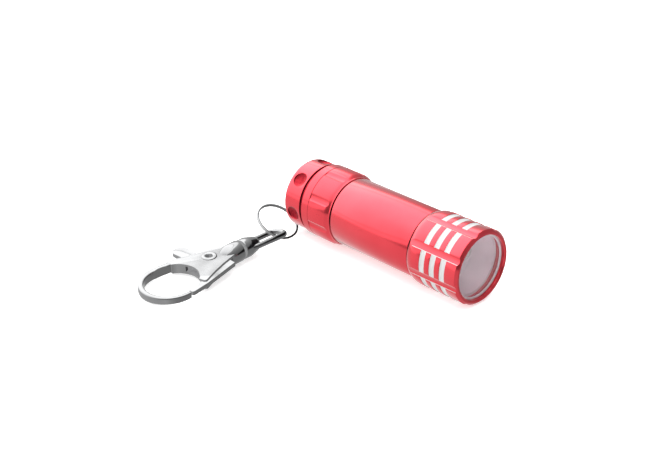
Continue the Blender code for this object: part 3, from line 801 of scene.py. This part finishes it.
def swivel_eye():
    """Closed loop on a hub: bars from the base washer, joined round the tip."""
    matrix = eye_matrix()
    reach = EYE_LENGTH - EYE_HALF_WIDTH
    path = [(1.5, -1.75), (3.0, -2.0), (4.5, -EYE_HALF_WIDTH), (9.5, -EYE_HALF_WIDTH)]
    path += arc((reach, 0.0), EYE_HALF_WIDTH, -90, 90, 32)
    path += [(9.5, EYE_HALF_WIDTH), (4.5, EYE_HALF_WIDTH), (3.0, 2.0), (1.5, 1.75)]
    diameter = 2.0 * EYE_WIRE_R
    eye = wire("swivel_eye_loop", [(x, y, 0.0) for x, y in path], diameter, diameter, matrix, sides=28,
               power=0.9)
    axis = matrix @ Matrix.Rotation(math.radians(-90), 4, "Y")
    hub = turned("hub", [(0.5, 2.5), (0.54, 2.65), (0.65, 2.73), (0.8, 2.75), (2.6, 2.75), (3.0, 2.71),
                         (3.5, 2.61), (4.2, 2.45), (5.8, 2.09), (6.1, 1.98), (6.3, 1.8), (6.4, 1.55), (6.4, 1.0),
                         (0.5, 1.0)], axis, 72)
    eye = cut(eye, applied(hub), "UNION")
    bore = matrix @ Matrix.Translation(Vector((3.1, 0.0, 0.0)) * MM) @ Matrix.Rotation(math.radians(90), 4, "Y")
    eye = cut(eye, cylinder("eye_bore_cutter", 1.0, 8.0, bore, 48))
    return piece(eye, "eye", "chrome", ["swivel_eye"])


def swivel_pin():
    axis = eye_matrix() @ Matrix.Rotation(math.radians(-90), 4, "Y")
    profile = [(-3.1, 0.0), (-3.1, 1.3), (-3.0, 1.55), (-2.8, 1.7), (-2.4, 1.7), (-2.4, 0.8), (6.6, 0.8),
               (6.6, 1.4), (6.75, 1.42), (6.95, 1.36), (7.15, 1.15), (7.28, 0.8), (7.35, 0.4), (7.35, 0.0)]
    pin = applied(turned("swivel_rivet", profile, axis, 48, closed=False))
    return piece(pin, "eye", "chrome", ["swivel_pin"])


def clasp_hook():
    """Cast hook: tapering loop, two cheeks round the gate slot, and the swivel collar."""
    matrix = clasp_matrix()
    cheeks = [(3.0, 2.5), (4.5, 2.75), (8.3, 3.7), (12.0, 4.9), (14.6, 5.9), (16.3, 6.62), (16.8, 6.6),
              (17.2, 6.2), (17.8, 3.0), (17.8, -7.9), (16.0, -7.75), (12.0, -6.3), (5.0, -4.2), (3.0, -3.2)]
    hook = outline("hook_casting", cheeks, CLASP_THICKNESS, matrix, 0.18)
    path = [(13.2, -5.8), (14.7, -6.35), (16.2, -6.8), (17.4, -7.08), (18.6, -7.3), (20.2, -7.53)]
    path += arc(LOOP_CENTRE, LOOP_R, -100, 93, 96)
    taper = [1.0 - 0.34 * index / (len(path) - 1) for index in range(len(path))]
    loop = wire("loop", [(x, y, 0.0) for x, y in path], 1.87, 2.7, matrix, radii=taper, sides=40, power=0.5)
    hook = cut(hook, loop, "UNION")
    opening = matrix @ Matrix.Translation(Vector((21.4, -0.5, 0.0)) * MM)
    hook = cut(hook, cylinder("hook_opening_cutter", LOOP_OPENING_R - 0.02, 8.0, opening, 160))
    axis = matrix @ Matrix.Rotation(math.radians(90), 4, "Y")
    collar = turned("collar", [(-6.2, 0.0), (-6.15, 0.7), (-6.0, 1.2), (-5.6, 1.75), (-5.0, 2.2), (-4.2, 2.6),
                               (-3.6, 2.83), (-3.1, COLLAR_R), (-0.3, COLLAR_R), (-0.1, COLLAR_R - 0.08),
                               (0.0, COLLAR_R - 0.25), (0.0, 0.0)], axis, 72, closed=False)
    hook = cut(hook, applied(collar), "UNION")
    cavity = turned("cavity", [(-4.6, 0.0), (-4.6, 0.7), (-3.3, 2.2), (-1.7, 2.2), (-1.5, 1.3), (-0.1, 1.3),
                               (0.02, 1.45), (0.6, 1.45), (0.6, 0.0)], axis, 48, closed=False)
    # The cavity's and the slot's cut faces take the dark metal: painted shade inside the clasp's hollows.
    two_tone(hook, "chrome", "clasp_painted_shade")
    hook = cut(hook, two_tone(applied(cavity), "chrome", "clasp_painted_shade", 1))
    slot = [(4.4, 8.0), (19.0, 10.0), (19.0, -2.0), (14.4, -3.6), (14.4, -10.5), (4.4, -10.5)]
    slot_cutter = outline("gate_slot_cutter", slot, GATE_SLOT, matrix)
    hook = cut(hook, two_tone(slot_cutter, "chrome", "clasp_painted_shade", 1))
    hook = cut(hook, cylinder("rivet_hole_cutter", RIVET_R + 0.12, 6.0, pivot_matrix(), 48))
    return piece(hook, "clasp", "chrome", ["clasp_hook"])


def clasp_gate():
    """Lever in the slot: gate arm to the hook's nose, thumb tab on the other side."""
    tab = arc((TAB_CENTRE[0] - PIVOT[0], TAB_CENTRE[1] - PIVOT[1]), TAB_R, 10, -190, 28)
    shape = [(-3.4, 6.2), (7.7, 8.6), (12.5, 9.15), (13.1, 8.95), (13.3, 8.6), (13.3, 7.6), (7.9, 6.6),
             (6.3, 4.6), (4.1, 0.6), (4.1, -4.2)]
    shape += tab + [(0.15, -4.8), (-2.2, -3.0), (-3.6, 1.6)]
    gate = outline("gate_lever", shape, GATE_THICKNESS, pivot_matrix(), 0.14)
    gate = cut(gate, cylinder("gate_bore_cutter", RIVET_R + 0.15, 4.0, pivot_matrix(), 48))
    pocket = pivot_matrix() @ Matrix.Translation(Vector((0.0, 0.0, 0.65)) * MM)
    gate = cut(gate, cylinder("spring_pocket_cutter", 2.15, 1.6, pocket, 48))
    return piece(gate, "gate", "chrome", ["clasp_gate"])


def gate_rivet():
    """Hollow rivet through both cheeks, rolled over on each side."""
    face = CLASP_THICKNESS / 2.0 + 0.12
    inner = 0.92
    roll = []
    for step in range(9):
        angle = math.radians(20.0 * step)
        roll.append((face + 0.33 * math.sin(angle), 1.5 + 0.6 * math.cos(angle)))
    top = [(station, max(radius, inner)) for station, radius in roll]
    profile = [(-station, radius) for station, radius in reversed(top)]
    profile += [(-face, RIVET_R), (face, RIVET_R)] + top
    rivet = applied(turned("hollow_rivet", profile, pivot_matrix(), 64))
    return piece(rivet, "clasp", "chrome", ["gate_rivet"])


# ---------------------------------------------------------------- stage

def repaint_inner_nodes():
    """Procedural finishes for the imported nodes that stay."""
    finish = {entry["node"]: entry["material_slot"] for entry in frame["record"]["subparts"]}
    for name, node in frame["nodes"].items():
        if not node.hide_render:
            node.data.materials.clear()
            node.data.materials.append(MATERIALS[finish[name]])


def stage():
    bm = bmesh.new()
    bmesh.ops.create_grid(bm, x_segments=1, y_segments=1, size=2.0)
    floor = mesh_object("floor", bm, Matrix.Translation((0.0, 0.0, -0.0001)))
    mat, shader = new_material("pale_floor", (0.90, 0.90, 0.90), 0.6, 0.0)
    paper = stretched_noise(mat, 40.0, detail=3.0)
    connect(mat, shader, tinted(mat, paper, (0.895, 0.895, 0.895), (0.905, 0.905, 0.905)))
    floor.data.materials.append(mat)
    shader.inputs["Emission Color"].default_value = (1.0, 1.0, 1.0, 1.0)
    shader.inputs["Emission Strength"].default_value = FLOOR_GLOW
    floor.visible_glossy = False


def ramp(tree, value, stops):
    """Grey ramp of (position, level) stops; levels are shares of the tent's brightest panel."""
    node = tree.nodes.new("ShaderNodeValToRGB")
    elements = node.color_ramp.elements
    elements[0].position, elements[1].position = stops[0][0], stops[-1][0]
    for position, level in stops[1:-1]:
        elements.new(position)
    for element, (position, level) in zip(elements, stops):
        element.color = (level, level, level, 1.0)
    tree.links.new(value, node.inputs["Fac"])
    return node.outputs["Color"]


def toward(tree, direction, vector):
    """How far a world direction leans along an axis, as 0 to 1."""
    node = tree.nodes.new("ShaderNodeVectorMath")
    node.operation = "DOT_PRODUCT"
    axis = Vector(direction).normalized()
    node.inputs[1].default_value = axis
    tree.links.new(vector, node.inputs[0])
    scale = tree.nodes.new("ShaderNodeMapRange")
    scale.inputs["From Min"].default_value = -1.0
    tree.links.new(node.outputs["Value"], scale.inputs["Value"])
    return scale.outputs["Result"]


def multiplied(tree, first, second):
    node = tree.nodes.new("ShaderNodeMix")
    node.data_type = "RGBA"
    node.blend_type = "MULTIPLY"
    node.inputs["Factor"].default_value = 1.0
    tree.links.new(first, node.inputs["A"])
    tree.links.new(second, node.inputs["B"])
    return node.outputs["Result"]


def light_tent():
    """White tent to the left and overhead with one seam, open and dim to the right, dim table below."""
    world = bpy.data.worlds.new("light_tent")
    bpy.context.scene.world = world
    world.use_nodes = True
    tree = world.node_tree
    coords = tree.nodes.new("ShaderNodeTexCoord").outputs["Generated"]
    panel = ramp(tree, toward(tree, TENT_AXIS, coords),
                 [(0.0, 0.08), (0.35, 0.10), (0.50, 0.13), (0.62, 0.18), (0.69, 0.24), (0.73, 0.30), (0.75, 0.78),
                  (0.81, 0.84), (0.82, 0.45), (0.83, 0.90), (0.90, 0.97), (1.0, 1.0)])
    depth = ramp(tree, toward(tree, (0.0, 1.0, 0.0), coords),
                 [(0.1, 0.52), (0.3, 0.76), (0.7, 1.0), (1.0, 1.0)])
    above = multiplied(tree, panel, depth)
    below = ramp(tree, toward(tree, (-0.7, -0.7, -0.1), coords),
                 [(0.0, 0.13), (0.3, 0.15), (0.45, 0.20), (0.6, 0.26), (0.8, 0.24), (0.95, 0.27), (1.0, 0.30)])
    side = tree.nodes.new("ShaderNodeMapRange")
    side.inputs["From Min"].default_value = 0.455
    side.inputs["From Max"].default_value = 0.470
    tree.links.new(toward(tree, (0.0, 0.0, 1.0), coords), side.inputs["Value"])
    both = tree.nodes.new("ShaderNodeMix")
    both.data_type = "RGBA"
    tree.links.new(side.outputs["Result"], both.inputs["Factor"])
    tree.links.new(below, both.inputs["A"])
    tree.links.new(above, both.inputs["B"])
    background = tree.nodes["Background"]
    tree.links.new(both.outputs["Result"], background.inputs["Color"])
    background.inputs["Strength"].default_value = TENT_STRENGTH


def camera():
    forward = Vector(CAMERA_FORWARD).normalized()
    data = bpy.data.cameras.new("camera")
    data.sensor_width = 36.0
    data.lens = CAMERA_LENS
    data.clip_start = 0.01
    data.clip_end = 10.0
    cam = link(bpy.data.objects.new("camera", data))
    face = Vector((FRONT_X - FACE, AXIS_Y, AXIS_Z))
    cam.location = (face + Vector(CAMERA_OFFSET)) * MM
    cam.rotation_euler = forward.to_track_quat("-Z", "Y").to_euler()
    bpy.context.scene.camera = cam


camera()
head_shell()
barrel()
tail_cap()
lens()
reflector()
leds()
seal("head_o_ring", 15.15, 7.95, 0.38, "barrel", "head_seal")
seal("cap_o_ring", 46.85, 8.75, 0.38, "cap_seal", "cap_seal")
switch_boot()
split_ring()
swivel_eye()
swivel_pin()
clasp_hook()
clasp_gate()
gate_rivet()
repaint_inner_nodes()
stage()
light_tent()
bpy.context.scene.view_settings.view_transform = "Standard"
